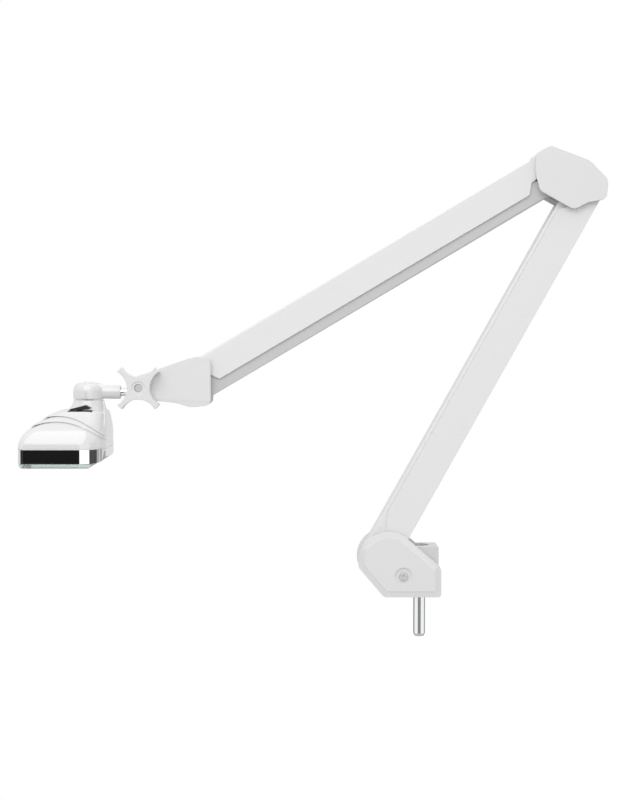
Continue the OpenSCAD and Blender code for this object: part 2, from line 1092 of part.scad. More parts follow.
// Side view of the space over the sole, which lifts at the heel
module sole_view(bottom, top, lift) {
    slab(-head_w, head_w)
        polygon(concat(
            [[nose_x - far, top], [nose_x - far, bottom]],
            [for (a = [0:15:90])
                [heel_x - heel_run + heel_run * sin(a) + eps, bottom + lift * (1 - cos(a))]],
            [[heel_x + far, bottom + lift], [heel_x + far, top]]
        ));
}

module trim_band() {
    color("dimgray")
        intersection() {
            translate([0, 0, band_z])
                linear_extrude(band_h)
                    difference() {
                        rounded(head_corners);
                        rounded(head_corners, band_t);
                    }
            sole_view(band_z, seam_z + 1, heel_lift);
        }
}

module glass_plate() {
    color("lightcyan", 0.5)
        intersection() {
            translate([0, 0, glass_z])
                linear_extrude(glass_t - snug_fit)
                    rounded(head_corners, 0.6);
            slab(-head_w, head_w)
                polygon([
                    [nose_x + 4, glass_z], [heel_x - heel_run - 3, glass_z],
                    [heel_x - heel_run + 1, band_z], [nose_x, band_z], [nose_x, glass_z + 2]
                ]);
        }
}

module board_space(d, z, t) {
    translate([0, 0, z])
        linear_extrude(t)
            intersection() {
                rounded(head_corners, d);
                translate([nose_x - far, -far])
                    square([nose_dx + far + heel_dx - heel_run - 1, 2 * far]);
            }
}

led_pitch_x = (nose_dx + heel_dx - heel_run - 2 * board_in - 8) / (led_cols - 1);
led_pitch_y = (head_w - 2 * board_in - 12) / (led_rows - 1);

// One child at each light source's place
module at_leds(z) {
    for (i = [0:led_cols - 1], j = [0:led_rows - 1])
        translate([nose_x + board_in + 6 + i * led_pitch_x, (j - (led_rows - 1) / 2) * led_pitch_y, z])
            children();
}

module reflector_tray() {
    color("white")
        difference() {
            board_space(band_t + 0.4, band_z + 0.3, board_z - band_z - 0.5);
            at_leds(0)
                cylinder(r = 3.6, h = far + seam_z);
        }
}

module led_board() {
    color("seagreen")
        board_space(board_in, board_z, board_t);
}

module leds() {
    color("khaki")
        at_leds(board_z - 1.2)
            translate([-1.75, -1.75, 0])
                cube([3.5, 3.5, 1.2 - snug_fit]);
}

module heat_sink() {
    fin_pitch = (head_w - 40) / (fin_count - 1);
    fin_len = nose_dx + heel_dx - heel_run - 36;
    color("silver") {
        board_space(board_in + 3, sink_z + snug_fit, sink_t);
        for (j = [0:fin_count - 1])
            translate([nose_x + 20, (j - (fin_count - 1) / 2) * fin_pitch - fin_t / 2, sink_z + sink_t - eps])
                cube([fin_len, fin_t, fin_h]);
    }
}

module driver_board() {
    color("seagreen")
        translate([nose_x + 24, -16, driver_z]) {
            cube([40, 32, 1.6]);
            translate([4, 5, 1.6 - eps])
                cube([12, 10, 8]);
            translate([26, 16, 1.6 - eps])
                cylinder(r = 4, h = 9);
            for (i = [0:3])
                translate([6 + 7 * i, 24, 1.6 - eps])
                    cube([4, 3, 2]);
        }
}

// ---------- switch ----------

pivot_z = shelf_z - rocker_pivot;

module switch_housing() {
    window = 2 * rocker_half + 2;
    color("black")
        difference() {
            union() {
                translate([switch_x - switch_l / 2, switch_y - switch_w / 2, shelf_z + snug_fit])
                    cube([switch_l, switch_w, bezel_t]);
                translate([switch_x - switch_l / 2 + 2, switch_y - switch_w / 2 + 1.5, shelf_z - 12])
                    cube([switch_l - 4, switch_w - 3, 12 + bezel_t]);
            }
            translate([switch_x - 4, switch_y - switch_w / 2 + 2.5, shelf_z - 9])
                cube([8, switch_w - 5, far / 4]);
        }
    color("silver")
        cross_bar([switch_x, pivot_z], 1.2, switch_y - switch_w / 2 + 2.4, switch_y + switch_w / 2 - 2.4);
}

// Ribbed wedge that rocks about a pin across the arms
module switch_rocker() {
    half_w = switch_w / 2 - 3;
    under = shelf_z + bezel_t + 0.5;
    color("black")
        difference() {
            union() {
                slab(switch_y - switch_w / 2 + 1, switch_y + switch_w / 2 - 1)
                    translate([switch_x, under])
                        polygon([
                            [-rocker_half, 0], [0, 0],
                            [rocker_half, rocker_half * tan(rocker_travel + 1)],
                            [rocker_half, rocker_half * tan(rocker_travel + 1) + 0.5],
                            [rocker_peak, rocker_h], [-rocker_half, 1]
                        ]);
                slab(switch_y - half_w, switch_y + half_w)
                    translate([switch_x - 2, pivot_z])
                        square([4, under - pivot_z + 1]);
                cross_bar([switch_x, pivot_z], 2.4, switch_y - half_w, switch_y + half_w);
            }
            cross_bar([switch_x, pivot_z], 1.2 + run_fit, -far, far);
        }
}

spigot_pin();
spigot_circlip();
base_bracket();
base_block();
base_bush();
base_pins();
base_cover_front();
base_cover_back();
base_cover_screws();
cable_inlet();
lower_channel();
lower_bushes();
lower_springs();
lower_spring_rod();
lower_lead();
lower_link();
lower_link_bushes();
elbow_plates();
elbow_spacers();
elbow_pins();
elbow_shroud();
elbow_cover_front();
elbow_cover_back();
elbow_screws();
forearm_channel();
forearm_bushes();
forearm_springs();
forearm_spring_rod();
forearm_lead();
forearm_link();
forearm_link_bushes();
wrist_plates();
wrist_clevis();
wrist_pins();
wrist_washers();
wrist_nut();
wrist_shroud();
wrist_cover_front();
wrist_cover_back();
wrist_screws();
star_knob();
knob_bolt();
stem_eye();
stem_rod();
swivel_elbow();
swivel_bush();
swivel_plug();
head_shell();
head_spindle();
spindle_nut();
trim_band();
glass_plate();
reflector_tray();
led_board();
leds();
heat_sink();
driver_board();
switch_housing();
switch_rocker();
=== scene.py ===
"""Dental operating light on a sprung two-section arm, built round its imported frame."""

import json
import math

import bpy
from mathutils import Matrix, Vector


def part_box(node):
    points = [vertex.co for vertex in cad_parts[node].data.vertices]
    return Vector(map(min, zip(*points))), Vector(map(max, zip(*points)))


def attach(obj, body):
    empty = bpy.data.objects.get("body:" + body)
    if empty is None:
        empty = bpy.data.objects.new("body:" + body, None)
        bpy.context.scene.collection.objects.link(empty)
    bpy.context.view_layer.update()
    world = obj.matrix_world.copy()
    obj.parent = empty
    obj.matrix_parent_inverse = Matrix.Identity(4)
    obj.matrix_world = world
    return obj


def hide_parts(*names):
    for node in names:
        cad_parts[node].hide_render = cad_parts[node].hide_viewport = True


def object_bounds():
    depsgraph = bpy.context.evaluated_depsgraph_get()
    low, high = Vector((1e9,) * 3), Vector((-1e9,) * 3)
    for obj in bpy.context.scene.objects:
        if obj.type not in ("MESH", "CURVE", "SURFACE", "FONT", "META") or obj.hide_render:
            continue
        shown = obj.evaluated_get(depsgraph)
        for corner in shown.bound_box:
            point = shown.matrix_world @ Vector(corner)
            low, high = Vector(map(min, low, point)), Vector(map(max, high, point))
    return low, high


bl_info = {
    "name": "Dental operating light",
    "version": (1, 0, 0),
    "blender": (4, 5, 0),
    "location": "View3D > Sidebar > Dental light",
    "description": "Finishes the pieces of a dental operating light and lights it",
    "category": "Object",
}

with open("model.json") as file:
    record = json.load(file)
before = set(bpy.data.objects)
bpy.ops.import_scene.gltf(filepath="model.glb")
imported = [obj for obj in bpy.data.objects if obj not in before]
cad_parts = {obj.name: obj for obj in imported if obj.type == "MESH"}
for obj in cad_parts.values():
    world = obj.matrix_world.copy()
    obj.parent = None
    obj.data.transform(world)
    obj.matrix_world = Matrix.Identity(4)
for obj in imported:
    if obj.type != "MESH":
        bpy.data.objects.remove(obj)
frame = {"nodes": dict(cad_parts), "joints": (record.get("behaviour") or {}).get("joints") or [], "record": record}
cad_low, cad_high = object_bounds()

MM = 0.001
SLOTS = {part["node"]: part["material_slot"] for part in frame["record"]["subparts"]}
JOINTS = {joint["name"]: Vector(joint["pos_m"]) for joint in frame["joints"]}
BODY_OF = {n: body for body, nodes in frame["record"]["behaviour"]["bodies"].items() for n in nodes}

# Spring wire and coil, as drawn inside the arms
WIRE_R = 0.85 * MM
COIL_PITCH = 1.85 * MM
COIL_R = 3.7 * MM

# Points nearer than this are merged, and flat faces within this angle are made whole
MERGE = 0.005 * MM
COPY_MERGE = 0.004 * MM
SLOPE_MERGE = 0.02 * MM
FLAT = math.radians(0.6)

# Places taken from the frame
ARM_FOOT = JOINTS["lower_arm_tilt"]
ARM_TOP = JOINTS["elbow_level"]
FORE_ROOT = JOINTS["forearm_tilt"]
FORE_TIP = JOINTS["wrist_level"]
KNOB = JOINTS["knob_turn"]
NECK = JOINTS["head_swivel"]
SHELL_LOW, SHELL_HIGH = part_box("head_shell")
CAP_LOW, CAP_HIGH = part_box("swivel_elbow")


# ---------- settings ----------


class LightSizes(bpy.types.PropertyGroup):
    edge_round: bpy.props.FloatProperty(
        name="Edge round",
        description="Radius on the outer edges of the moulded covers",
        default=0.9 * MM, min=0.0, max=2 * MM, subtype="DISTANCE", unit="LENGTH",
    )
    fold_round: bpy.props.FloatProperty(
        name="Fold radius",
        description="Outer radius where the sheet of the arms is folded",
        default=2.0 * MM, min=0.2 * MM, max=2.6 * MM, subtype="DISTANCE", unit="LENGTH",
    )
    saddle_rise: bpy.props.FloatProperty(
        name="Saddle rise",
        description="Height of each of the two steps on the head",
        default=0.9 * MM, min=0.2 * MM, max=2 * MM, subtype="DISTANCE", unit="LENGTH",
    )
    knob_round: bpy.props.FloatProperty(
        name="Knob edge round",
        description="Radius on the edges of the clamp knob",
        default=1.1 * MM, min=0.2 * MM, max=2 * MM, subtype="DISTANCE", unit="LENGTH",
    )
    lens_dome: bpy.props.FloatProperty(
        name="Lens height",
        description="Height of the clear lens on each light source",
        default=0.9 * MM, min=0.2 * MM, max=1.1 * MM, subtype="DISTANCE", unit="LENGTH",
    )
    switch_ribs: bpy.props.IntProperty(
        name="Switch ribs",
        description="Grip ribs across the rocker",
        default=5, min=2, max=9,
    )


class LightColours(bpy.types.PropertyGroup):
    head: bpy.props.FloatVectorProperty(
        name="Head", description="Gloss moulding of the head and swivel",
        default=(0.83, 0.83, 0.83), size=3, min=0.0, max=1.0, subtype="COLOR",
    )
    arms: bpy.props.FloatVectorProperty(
        name="Arms", description="Powder coat of the arms",
        default=(0.83, 0.83, 0.83), size=3, min=0.0, max=1.0, subtype="COLOR",
    )
    covers: bpy.props.FloatVectorProperty(
        name="Covers", description="Moulded covers and knob",
        default=(0.82, 0.82, 0.82), size=3, min=0.0, max=1.0, subtype="COLOR",
    )
    # The grey of the inner link is painted shade: it stands in for the shade in the recess where the inner channel
    # sits inside the outer one.
    link: bpy.props.FloatVectorProperty(
        name="Inner link", description="Powder coat of the forearm's inner channel",
        default=(0.60, 0.60, 0.61), size=3, min=0.0, max=1.0, subtype="COLOR",
    )
    trim: bpy.props.FloatVectorProperty(
        name="Trim band", description="Polished band round the glass",
        default=(0.88, 0.88, 0.89), size=3, min=0.0, max=1.0, subtype="COLOR",
    )
    glass: bpy.props.FloatVectorProperty(
        name="Glass", description="Tint of the front glass",
        default=(0.84, 0.96, 0.92), size=3, min=0.0, max=1.0, subtype="COLOR",
    )


# ---------- materials ----------


def new_tree(name):
    material = bpy.data.materials.new(name)
    material.use_nodes = True
    tree = material.node_tree
    shader = tree.nodes["Principled BSDF"]
    return material, tree, shader


def surface_group():
    """Colour, roughness and height that vary a little over a surface, from its own coordinates."""
    group = bpy.data.node_groups.get("surface_variation")
    if group:
        return group
    group = bpy.data.node_groups.new("surface_variation", "ShaderNodeTree")
    for label, kind in (
        ("Colour", "NodeSocketColor"), ("Dust Colour", "NodeSocketColor"), ("Dust", "NodeSocketFloat"),
        ("Roughness", "NodeSocketFloat"), ("Spread", "NodeSocketFloat"), ("Grain Scale", "NodeSocketFloat"),
    ):
        group.interface.new_socket(name=label, in_out="INPUT", socket_type=kind)
    for label, kind in (
        ("Colour", "NodeSocketColor"), ("Roughness", "NodeSocketFloat"), ("Height", "NodeSocketFloat"),
    ):
        group.interface.new_socket(name=label, in_out="OUTPUT", socket_type=kind)
    nodes, links = group.nodes, group.links
    inside, outside = nodes.new("NodeGroupInput"), nodes.new("NodeGroupOutput")
    place = nodes.new("ShaderNodeTexCoord")
    cloud, grain = nodes.new("ShaderNodeTexNoise"), nodes.new("ShaderNodeTexNoise")
    cloud.inputs["Scale"].default_value = 14.0
    cloud.inputs["Detail"].default_value = 5.0
    grain.inputs["Detail"].default_value = 2.0
    links.new(place.outputs["Object"], cloud.inputs["Vector"])
    links.new(place.outputs["Object"], grain.inputs["Vector"])
    links.new(inside.outputs["Grain Scale"], grain.inputs["Scale"])
    share = nodes.new("ShaderNodeMath")
    share.operation = "MULTIPLY"
    links.new(cloud.outputs["Fac"], share.inputs[0])
    links.new(inside.outputs["Dust"], share.inputs[1])
    tint = nodes.new("ShaderNodeMix")
    tint.data_type = "RGBA"
    links.new(share.outputs[0], tint.inputs["Factor"])
    links.new(inside.outputs["Colour"], tint.inputs["A"])
    links.new(inside.outputs["Dust Colour"], tint.inputs["B"])
    centred = nodes.new("ShaderNodeMath")
    centred.operation = "SUBTRACT"
    centred.inputs[1].default_value = 0.5
    links.new(cloud.outputs["Fac"], centred.inputs[0])
    rough = nodes.new("ShaderNodeMath")
    rough.operation = "MULTIPLY_ADD"
    links.new(centred.outputs[0], rough.inputs[0])
    links.new(inside.outputs["Spread"], rough.inputs[1])
    links.new(inside.outputs["Roughness"], rough.inputs[2])
    links.new(tint.outputs["Result"], outside.inputs["Colour"])
    links.new(rough.outputs[0], outside.inputs["Roughness"])
    links.new(grain.outputs["Fac"], outside.inputs["Height"])
    return group


def edge_highlight_group():
    """A painted highlight: a mask of the thin lighter line along convex edges, from the surface's pointiness,
    mixed into the colour.
    """
    group = bpy.data.node_groups.get("edge_highlight")
    if group:
        return group
    group = bpy.data.node_groups.new("edge_highlight", "ShaderNodeTree")
    group.interface.new_socket(name="Colour", in_out="INPUT", socket_type="NodeSocketColor")
    group.interface.new_socket(name="Highlight Colour", in_out="INPUT", socket_type="NodeSocketColor")
    group.interface.new_socket(name="Amount", in_out="INPUT", socket_type="NodeSocketFloat")
    group.interface.new_socket(name="Colour", in_out="OUTPUT", socket_type="NodeSocketColor")
    nodes, links = group.nodes, group.links
    inside, outside = nodes.new("NodeGroupInput"), nodes.new("NodeGroupOutput")
    geometry, span = nodes.new("ShaderNodeNewGeometry"), nodes.new("ShaderNodeMapRange")
    span.inputs["From Min"].default_value = 0.53
    span.inputs["From Max"].default_value = 0.62
    links.new(geometry.outputs["Pointiness"], span.inputs["Value"])
    share = nodes.new("ShaderNodeMath")
    share.operation = "MULTIPLY"
    links.new(span.outputs["Result"], share.inputs[0])
    links.new(inside.outputs["Amount"], share.inputs[1])
    tint = nodes.new("ShaderNodeMix")
    tint.data_type = "RGBA"
    links.new(share.outputs[0], tint.inputs["Factor"])
    links.new(inside.outputs["Colour"], tint.inputs["A"])
    links.new(inside.outputs["Highlight Colour"], tint.inputs["B"])
    links.new(tint.outputs["Result"], outside.inputs["Colour"])
    return group


def varied(tree, shader, colour, dust, dust_share, rough, spread, scale, bump, depth):
    """Feeds the shader from a surface_variation node and returns that node."""
    node = tree.nodes.new("ShaderNodeGroup")
    node.node_tree = surface_group()
    node.inputs["Colour"].default_value = (*colour, 1)
    node.inputs["Dust Colour"].default_value = (*dust, 1)
    node.inputs["Dust"].default_value = dust_share
    node.inputs["Roughness"].default_value = rough
    node.inputs["Spread"].default_value = spread
    node.inputs["Grain Scale"].default_value = scale
    tree.links.new(node.outputs["Colour"], shader.inputs["Base Color"])
    tree.links.new(node.outputs["Roughness"], shader.inputs["Roughness"])
    relief = tree.nodes.new("ShaderNodeBump")
    relief.inputs["Strength"].default_value = bump
    relief.inputs["Distance"].default_value = depth
    tree.links.new(node.outputs["Height"], relief.inputs["Height"])
    tree.links.new(relief.outputs["Normal"], shader.inputs["Normal"])
    return node


def lighten_edges(tree, shader, colour_from, highlight_colour, amount):
    """Lays a lighter edge colour, a painted highlight, over the colour that comes from another node."""
    node = tree.nodes.new("ShaderNodeGroup")
    node.node_tree = edge_highlight_group()
    node.inputs["Highlight Colour"].default_value = (*highlight_colour, 1)
    node.inputs["Amount"].default_value = amount
    tree.links.new(colour_from.outputs["Colour"], node.inputs["Colour"])
    tree.links.new(node.outputs["Colour"], shader.inputs["Base Color"])


def painted(name, colour, rough, scale, bump):
    """Powder coat: a fine orange-peel grain, and slightly lighter edges that are a painted highlight."""
    material, tree, shader = new_tree(name)
    shade = tuple(c * 0.94 for c in colour)
    node = varied(tree, shader, colour, shade, 0.35, rough, 0.10, scale, bump, 0.05 * MM)
    # the lighter colour along convex edges is a painted highlight
    lighten_edges(tree, shader, node, tuple(min(c * 1.05, 1) for c in colour), 0.5)
    shader.inputs["Specular IOR Level"].default_value = 0.45
    return material


def moulded(name, colour, rough, scale, bump, coat):
    """Plastic moulding with a fine texture."""
    material, tree, shader = new_tree(name)
    shade = tuple(c * 0.95 for c in colour)
    varied(tree, shader, colour, shade, 0.3, rough, 0.06, scale, bump, 0.03 * MM)
    shader.inputs["Coat Weight"].default_value = coat
    shader.inputs["Coat Roughness"].default_value = 0.06
    return material


def metal(name, colour, rough, scale, bump):
    """Polished or brushed metal with brighter edges that are a painted highlight."""
    material, tree, shader = new_tree(name)
    shade = tuple(c * 0.82 for c in colour)
    node = varied(tree, shader, colour, shade, 0.4, rough, 0.08, scale, bump, 0.02 * MM)
    # the brighter colour along convex edges is a painted highlight
    lighten_edges(tree, shader, node, tuple(min(c * 1.15, 1) for c in colour), 0.4)
    shader.inputs["Metallic"].default_value = 1.0
    return material


def clear_glass(name, colour):
    material, tree, shader = new_tree(name)
    varied(tree, shader, colour, tuple(c * 0.97 for c in colour), 0.3, 0.03, 0.02, 60.0, 0.02, 0.01 * MM)
    shader.inputs["Transmission Weight"].default_value = 0.72
    shader.inputs["IOR"].default_value = 1.5
    return material


def circuit_board(name):
    """Green board with copper tracks laid out in a brick pattern."""
    material, tree, shader = new_tree(name)
    place, tracks = tree.nodes.new("ShaderNodeTexCoord"), tree.nodes.new("ShaderNodeTexBrick")
    tracks.inputs["Scale"].default_value = 90.0
    tracks.inputs["Mortar Size"].default_value = 0.012
    tracks.inputs["Color1"].default_value = (0.03, 0.16, 0.07, 1)
    tracks.inputs["Color2"].default_value = (0.04, 0.19, 0.09, 1)
    tracks.inputs["Mortar"].default_value = (0.35, 0.30, 0.12, 1)
    tree.links.new(place.outputs["Object"], tracks.inputs["Vector"])
    tree.links.new(tracks.outputs["Color"], shader.inputs["Base Color"])
    shader.inputs["Roughness"].default_value = 0.35
    return material


def lit_phosphor(name):
    material, tree, shader = new_tree(name)
    varied(tree, shader, (0.85, 0.72, 0.25), (0.75, 0.60, 0.18), 0.5, 0.35, 0.1, 800.0, 0.1, 0.02 * MM)
    return material


MATERIALS = {}


def make_materials(colours):
    MATERIALS.update({
        "chrome": metal("chrome", (0.90, 0.91, 0.92), 0.06, 1500.0, 0.01),
        "steel": metal("steel", (0.68, 0.69, 0.70), 0.26, 900.0, 0.08),
        "spring_clip": metal("spring_clip", (0.20, 0.20, 0.21), 0.45, 700.0, 0.10),
        "frame_metal": painted("frame_metal", (0.70, 0.70, 0.70), 0.45, 1600.0, 0.15),
        "white_nylon": moulded("white_nylon", (0.80, 0.80, 0.77), 0.5, 1800.0, 0.08, 0.0),
        "bronze": metal("bronze", (0.62, 0.45, 0.22), 0.40, 1200.0, 0.15),
        "arm_white": painted("arm_white", tuple(colours.arms), 0.42, 1800.0, 0.12),
        # link_grey is the arm powder coat made darker: painted shade for the recessed inner channel
        "link_grey": painted("link_grey", tuple(colours.link), 0.42, 1800.0, 0.12),
        "cover_white": moulded("cover_white", tuple(colours.covers), 0.42, 2200.0, 0.10, 0.0),
        "gloss_white": moulded("gloss_white", tuple(colours.head), 0.14, 300.0, 0.01, 0.8),
        "black_rubber": moulded("black_rubber", (0.015, 0.015, 0.015), 0.65, 2500.0, 0.25, 0.0),
        "dark_mirror": metal("dark_mirror", tuple(colours.trim), 0.025, 600.0, 0.003),
        "pale_glass": clear_glass("pale_glass", tuple(colours.glass)),
        "tray_white": moulded("tray_white", (0.86, 0.86, 0.86), 0.35, 1500.0, 0.05, 0.0),
        "board_green": circuit_board("board_green"),
        "led_yellow": lit_phosphor("led_yellow"),
        "aluminium": metal("aluminium", (0.72, 0.73, 0.74), 0.35, 900.0, 0.10),
        "black_plastic": moulded("black_plastic", (0.012, 0.012, 0.013), 0.38, 1800.0, 0.15, 0.0),
    })


# ---------- modelling helpers ----------


def nothing_selected():
    if bpy.context.object and bpy.context.object.mode != "OBJECT":
        bpy.ops.object.mode_set(mode="OBJECT")
    bpy.ops.object.select_all(action="DESELECT")


def only(piece):
    nothing_selected()
    piece.select_set(True)
    bpy.context.view_layer.objects.active = piece


def edit(piece, mode="FACE"):
    """Sets the piece's selection mode and clears its selection, ready for one made in object mode."""
    only(piece)
    bpy.ops.object.mode_set(mode="EDIT")
    bpy.ops.mesh.select_mode(type=mode)
    bpy.ops.mesh.select_all(action="DESELECT")
    bpy.ops.object.mode_set(mode="OBJECT")


def pick_faces(piece, test):
    """Selects the faces whose centre and normal pass the test, and goes into edit mode."""
    edit(piece, "FACE")
    for face in piece.data.polygons:
        face.select = test(face.center, face.normal)
    bpy.ops.object.mode_set(mode="EDIT")


def pick_edges(piece, test):
    """Selects the edges whose two ends both pass the test, and goes into edit mode."""
    edit(piece, "EDGE")
    verts = piece.data.vertices
    for e in piece.data.edges:
        e.select = test(verts[e.vertices[0]].co, verts[e.vertices[1]].co)
    bpy.ops.object.mode_set(mode="EDIT")


def all_edit(piece):
    only(piece)
    bpy.ops.object.mode_set(mode="EDIT")
    bpy.ops.mesh.select_all(action="SELECT")


def leave_edit():
    bpy.ops.object.mode_set(mode="OBJECT")


def outward(piece):
    all_edit(piece)
    bpy.ops.mesh.remove_doubles(threshold=MERGE)
    bpy.ops.mesh.normals_make_consistent(inside=False)
    leave_edit()


def apply_modifier(piece, kind, **values):
    only(piece)
    modifier = piece.modifiers.new(kind.lower(), kind)
    for key, value in values.items():
        setattr(modifier, key, value)
    bpy.ops.object.modifier_apply(modifier=modifier.name)


def round_edges(piece, width, segments=2, angle=32, clamp=True):
    apply_modifier(
        piece, "BEVEL", width=width, segments=segments, limit_method="ANGLE",
        angle_limit=math.radians(angle), use_clamp_overlap=clamp, miter_outer="MITER_ARC",
        harden_normals=False,
    )


def smooth(piece, angle=35):
    only(piece)
    bpy.ops.object.shade_smooth_by_angle(angle=math.radians(angle))
    apply_modifier(piece, "WEIGHTED_NORMAL", keep_sharp=True, weight=80)


def settle(piece):
    """Puts the piece's place into its mesh, so that its object stands at the origin."""
    only(piece)
    bpy.ops.object.transform_apply(location=True, rotation=True, scale=True)


def joined(pieces, name):
    nothing_selected()
    for piece in pieces:
        piece.select_set(True)
    bpy.context.view_layer.objects.active = pieces[0]
    if len(pieces) > 1:
        bpy.ops.object.join()
    whole = bpy.context.object
    whole.name = name
    return whole


def dress(piece, slot):
    piece.data.materials.clear()
    piece.data.materials.append(MATERIALS[slot])


def finish_piece(piece, name, replaced, slot=None, body=None):
    """Names the piece, gives it its finish, lets it ride and lets it stand for its CAD nodes."""
    settle(piece)
    piece.name = name
    piece.data.name = name
    dress(piece, slot or SLOTS[replaced[0]])
    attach(piece, body or BODY_OF[replaced[0]])
    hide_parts(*replaced)
    return piece


def copied(node, name):
    """A clean copy of a CAD node's mesh: doubles merged and flat faces made whole."""
    nothing_selected()
    source = frame["nodes"][node]
    piece = bpy.data.objects.new(name, source.data.copy())
    bpy.context.scene.collection.objects.link(piece)
    only(piece)
    if "custom_normal" in piece.data.attributes:
        bpy.ops.mesh.customdata_custom_splitnormals_clear()
    all_edit(piece)
    bpy.ops.mesh.remove_doubles(threshold=COPY_MERGE)
    bpy.ops.mesh.dissolve_limited(angle_limit=FLAT)
    leave_edit()
    return piece


def softened(node, width, segments=2, angle=32, turn=35, name=None):
    """A CAD node redrawn with rounded edges."""
    name = name or "fine_" + node
    piece = copied(node, name)
    round_edges(piece, width, segments, angle)
    smooth(piece, turn)
    return finish_piece(piece, name, [node])


def tapered_disc(foot_r, foot_z, top_r, top_z, sides=64):
    """A disc about the Z axis whose radius changes evenly from its foot to its top."""
    nothing_selected()
    bpy.ops.mesh.primitive_circle_add(
        vertices=sides, radius=foot_r, fill_type="NGON", location=(0, 0, foot_z)
    )
    piece = bpy.context.object
    bpy.ops.object.mode_set(mode="EDIT")
    bpy.ops.mesh.select_mode(type="FACE")
    bpy.ops.mesh.select_all(action="SELECT")
    bpy.ops.mesh.extrude_region_move(TRANSFORM_OT_translate={"value": (0, 0, top_z - foot_z)})
    widening = top_r / foot_r
    bpy.ops.transform.resize(value=(widening, widening, 1), center_override=(0, 0, top_z))
    leave_edit()
    outward(piece)
    settle(piece)
    return piece


def cube_at(low, high, name="block"):
    nothing_selected()
    bpy.ops.mesh.primitive_cube_add(size=1, location=(low + high) / 2, scale=high - low)
    piece = bpy.context.object
    piece.name = name
    settle(piece)
    return piece


# ---------- base, arms and joints ----------


def sloped_plateau(piece, foot, top, holes=(), step=0.0):
    """Slopes a cover's border up to its raised middle, leaving a small step and the holes as they are."""
    near = 0.02 * MM
    verts = piece.data.vertices
    high = [v.co.copy() for v in verts if abs(abs(v.co.y) - top) < near]
    for v in verts:
        if abs(abs(v.co.y) - foot) > near:
            continue
        if any(math.hypot(v.co.x - x, v.co.z - z) < reach for x, z, reach in holes):
            continue
        if any(abs(v.co.x - h.x) < near and abs(v.co.z - h.z) < near for h in high):
            v.co.y = math.copysign(top - step, v.co.y)
    all_edit(piece)
    bpy.ops.mesh.remove_doubles(threshold=SLOPE_MERGE)
    bpy.ops.mesh.dissolve_degenerate(threshold=0.01 * MM)
    bpy.ops.mesh.dissolve_limited(angle_limit=FLAT)
    leave_edit()


def levels_of(piece):
    """The distinct |y| levels of a cover's points, outermost first."""
    found = sorted({round(abs(v.co.y) / MM, 2) for v in piece.data.vertices}, reverse=True)
    return [level * MM for level in found]


class OBJECT_OT_light_materials(bpy.types.Operator):
    """Makes the finishes and puts one on every node of the frame"""

    bl_idname = "dental_light.materials"
    bl_label = "Finishes"

    def execute(self, context):
        make_materials(context.scene.light_colours)
        for name, node in frame["nodes"].items():
            node.data.materials.clear()
            node.data.materials.append(MATERIALS[SLOTS[name]])
        return {"FINISHED"}


class OBJECT_OT_light_spigot(bpy.types.Operator):
    """Turns the chrome spigot with its collar"""

    bl_idname = "dental_light.spigot"
    bl_label = "Spigot"

    def execute(self, context):
        softened("spigot_pin", 0.5 * MM, 3, 25, 30, "spigot")
        softened("spigot_circlip", 0.2 * MM)
        return {"FINISHED"}


class OBJECT_OT_light_base(bpy.types.Operator):
    """Shapes the two base covers with their sloping border, the screws and the cable inlet"""

    bl_idname = "dental_light.base"
    bl_label = "Base covers"

    def execute(self, context):
        sizes = context.scene.light_sizes
        holes = []
        for node, reach in (("base_cover_screws", 9.4 * MM), ("cable_inlet", 4.6 * MM)):
            low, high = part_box(node)
            holes.append(((low.x + high.x) / 2, (low.z + high.z) / 2, reach))
        for side in ("front", "back"):
            node = "base_cover_" + side
            cover = copied(node, node)
            top, foot = levels_of(cover)[:2]
            sloped_plateau(cover, foot, top, holes, 0.5 * MM)
            round_edges(cover, sizes.edge_round, 3, 38)
            smooth(cover, 30)
            finish_piece(cover, "base_shell_" + side, [node])
        softened("base_cover_screws", 0.25 * MM, 2, 40)
        softened("cable_inlet", 0.5 * MM, 3, 40)
        softened("base_bracket", 0.4 * MM)
        softened("base_block", 0.5 * MM)
        return {"FINISHED"}


class OBJECT_OT_light_arms(bpy.types.Operator):
    """Folds the two outer channels and their inner links"""

    bl_idname = "dental_light.arms"
    bl_label = "Arms"

    def folded(self, node, root, tip, radius):
        """A channel whose long outer edges have the sheet's fold radius."""
        piece = copied(node, "sheet_" + node)
        along = (tip - root).normalized()
        across = along.cross(Vector((0, 1, 0)))
        heights = [v.co.dot(across) for v in piece.data.vertices]
        widths = [abs(v.co.y) for v in piece.data.vertices]
        half = max(widths)
        closed_side = [h for h, w in zip(heights, widths) if w < half - 1.2 * MM]
        low, high = min(closed_side), max(closed_side)
        back = low if self.spread(piece, across, low) > self.spread(piece, across, high) else high
        near = 0.1 * MM

        def on_fold(a, b):
            return (
                abs(abs(a.y) - half) < near and abs(abs(b.y) - half) < near
                and abs(a.dot(across) - back) < near and abs(b.dot(across) - back) < near
                and (a - b).length > 20 * MM
            )

        pick_edges(piece, on_fold)
        bpy.ops.mesh.bevel(offset=radius, segments=5, affect="EDGES")
        leave_edit()
        round_edges(piece, 0.3 * MM, 2, 40)
        smooth(piece, 35)
        return finish_piece(piece, "sheet_" + node, [node])

    def spread(self, piece, across, height):
        """How far the points at this height reach along the arm."""
        near = 0.1 * MM
        spots = [v.co.x for v in piece.data.vertices if abs(v.co.dot(across) - height) < near]
        return max(spots) - min(spots) if spots else 0

    def execute(self, context):
        radius = context.scene.light_sizes.fold_round
        self.folded("lower_channel", ARM_FOOT, ARM_TOP, radius)
        self.folded("lower_link", ARM_FOOT, ARM_TOP, radius)
        self.folded("forearm_channel", FORE_ROOT, FORE_TIP, radius)
        self.folded("forearm_link", FORE_ROOT, FORE_TIP, radius)
        for node in ("lower_lead", "forearm_lead"):
            softened(node, 0.3 * MM)
        return {"FINISHED"}


